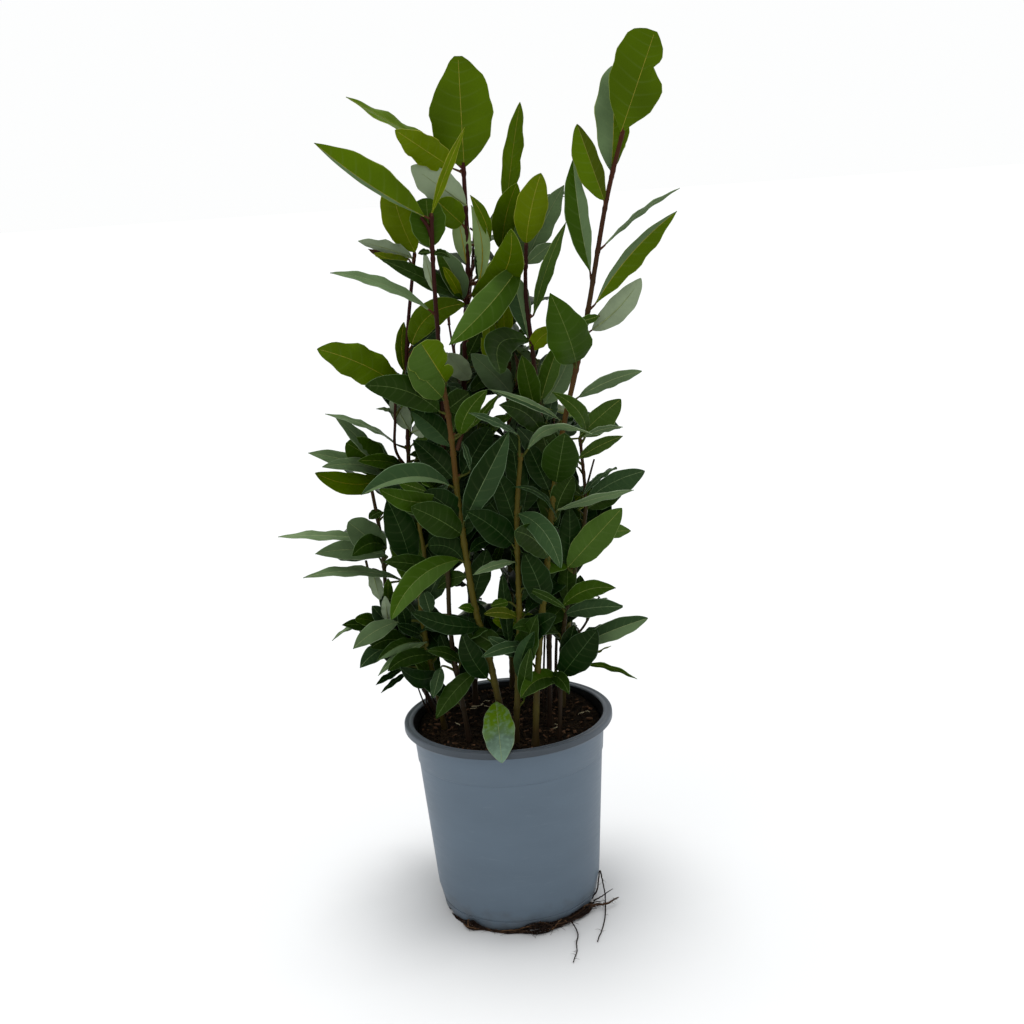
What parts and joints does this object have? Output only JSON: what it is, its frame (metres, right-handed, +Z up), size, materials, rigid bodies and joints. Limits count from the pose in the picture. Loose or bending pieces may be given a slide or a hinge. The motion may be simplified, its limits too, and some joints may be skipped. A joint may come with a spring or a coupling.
{
  "type": "potted bay laurel shrub",
  "caption": "Young bay laurel shrub, a clump of upright stems with long glossy leaves in loose clusters, rooted in a round tapered nursery pot full of compost.",
  "frame": {"origin": "centre of the pot's flat underside", "axes": "+Z up, along the stems; +X to the right and +Y to the back as the plant is seen from its front"},
  "size_m": [0.356, 0.2711, 0.764],
  "materials": {
    "pot": "matt blue-grey moulded polypropylene",
    "compost": "damp dark peat with bits of bark",
    "root": "brown fibrous root",
    "bark_olive": "smooth olive-green bark",
    "bark_brown": "smooth dark red-brown bark",
    "leaf_young": "satin yellow-green leaf",
    "leaf_mid": "satin mid-green leaf",
    "leaf_dark": "glossy dark green leaf with a paler grey-green back"
  },
  "bodies": {
    "root": {"pot": "pot", "compost": "compost", "root_mat": "root", "root_hanging": "root", "root_front": "root", "stem_front_left": "bark_olive", "stem_left_centre": "bark_brown", "stem_centre": "bark_brown", "stem_right_centre": "bark_brown", "stem_right_tall": "bark_olive", "stem_left": "bark_brown", "stem_back": "bark_olive", "stem_front": "bark_olive", "stem_right_low": "bark_brown", "stem_far_left": "bark_brown", "stem_left_low": "bark_olive", "stem_back_right": "bark_olive", "shoot_left": "bark_brown", "shoot_far_left": "bark_brown", "crown_tip": "leaf_mid", "crown_left": "leaf_young", "crown_front": "leaf_mid", "upper_left": "leaf_young", "left_top": "leaf_young", "centre_left_arm": "leaf_dark", "left_middle": "leaf_mid", "far_left_high": "leaf_young", "front_left_top": "leaf_mid", "upright_centre": "leaf_mid", "right_centre_top": "leaf_young", "right_centre_back": "leaf_dark", "centre_front": "leaf_mid", "top_right": "leaf_mid", "top_right_back": "leaf_dark", "right_inner": "leaf_dark", "right_arm": "leaf_young", "right_front": "leaf_mid", "right_low_top": "leaf_young", "front_arch": "leaf_young", "front_centre": "leaf_dark", "left_arm": "leaf_mid", "left_droop": "leaf_mid", "left_fan": "leaf_dark", "far_left_arm": "leaf_young", "far_left_low": "leaf_mid", "low_left_fan": "leaf_dark", "centre_low": "leaf_dark", "centre_low_left": "leaf_dark", "right_middle_arm": "leaf_mid", "right_middle_low": "leaf_mid", "right_low_arm": "leaf_young", "back_top": "leaf_mid", "back_left_high": "leaf_mid", "back_right_high": "leaf_mid", "back_middle": "leaf_dark", "back_left": "leaf_dark", "back_right": "leaf_mid", "back_low": "leaf_mid", "back_right_low": "leaf_dark", "back_left_low": "leaf_dark"}
  },
  "joints": []
}
